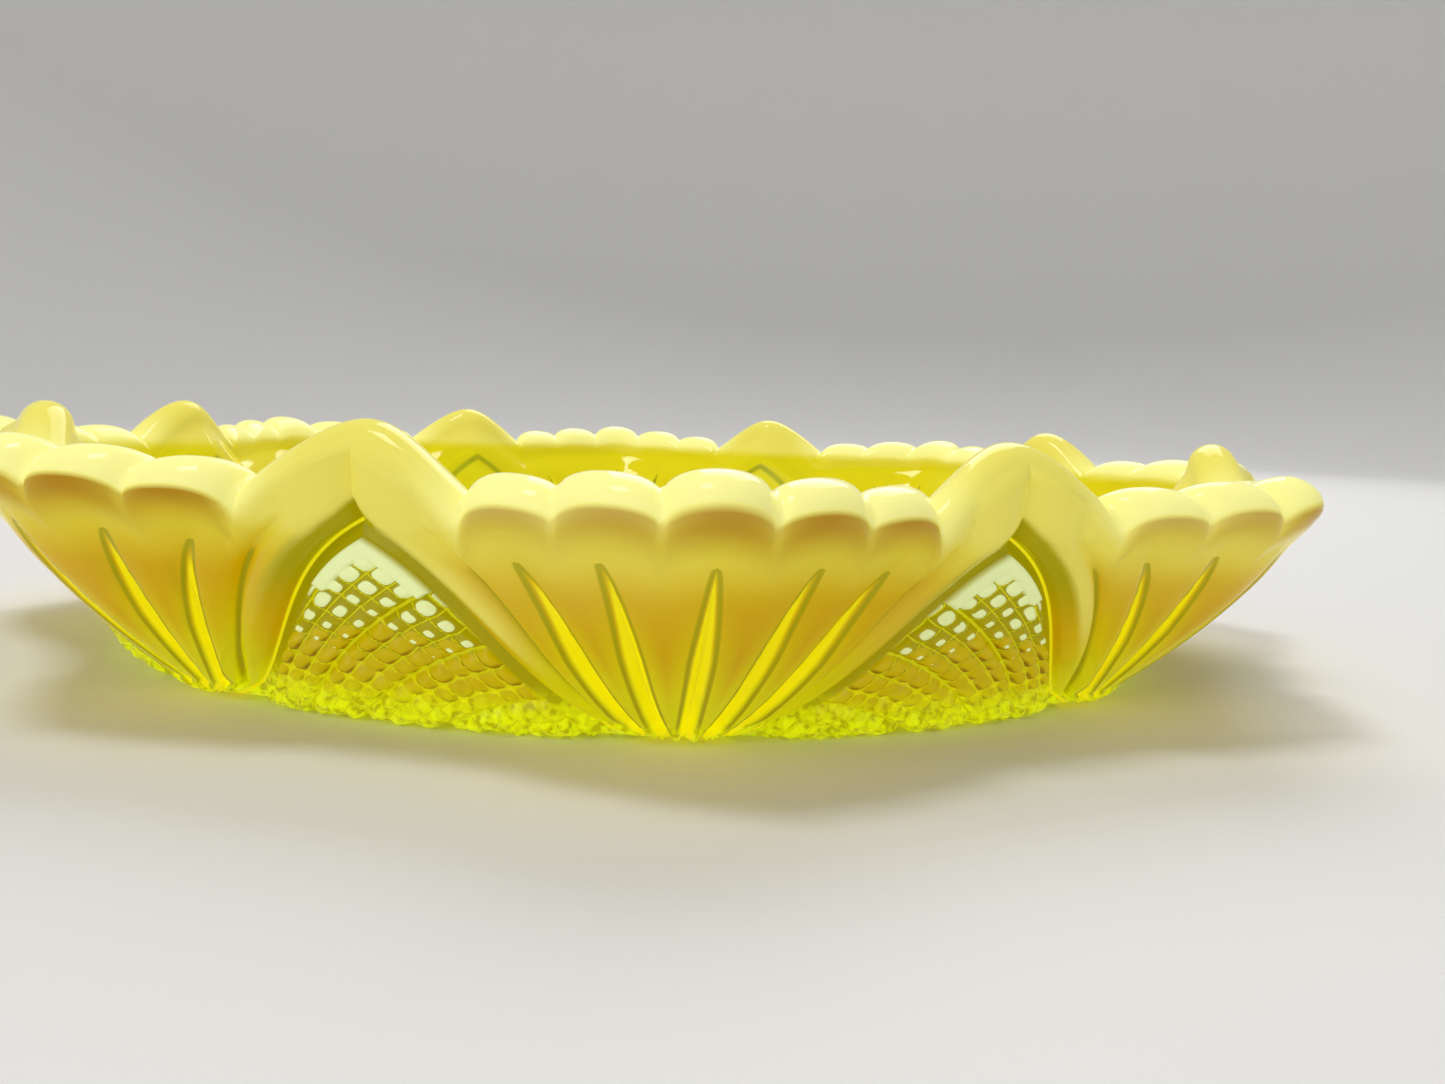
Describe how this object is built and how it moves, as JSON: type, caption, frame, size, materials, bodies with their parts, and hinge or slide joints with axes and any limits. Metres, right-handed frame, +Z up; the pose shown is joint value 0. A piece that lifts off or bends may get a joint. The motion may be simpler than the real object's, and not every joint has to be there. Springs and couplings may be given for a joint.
{
  "type": "uranium glass dish",
  "caption": "Round pressed glass dish with flaring fluted fans, pointed-arch lattice panels and a scalloped, peaked opal rim.",
  "frame": {"origin": "centre of the flat underside, on the surface that the dish stands on", "axes": "+Z up along the dish's axis; a fan is centred on each of +X, +Y, -X and -Y"},
  "size_m": [0.2072, 0.2072, 0.0335],
  "materials": {
    "clear_glass": "clear yellow-green uranium glass, glossy",
    "amber_glass": "cloudy yellow to amber uranium glass, glossy",
    "opal_glass": "opaque cream-lemon opal glass, glossy"
  },
  "bodies": {
    "root": {"clear_base": "clear_glass", "pressed_wall": "amber_glass", "opal_rim": "opal_glass"}
  },
  "joints": []
}
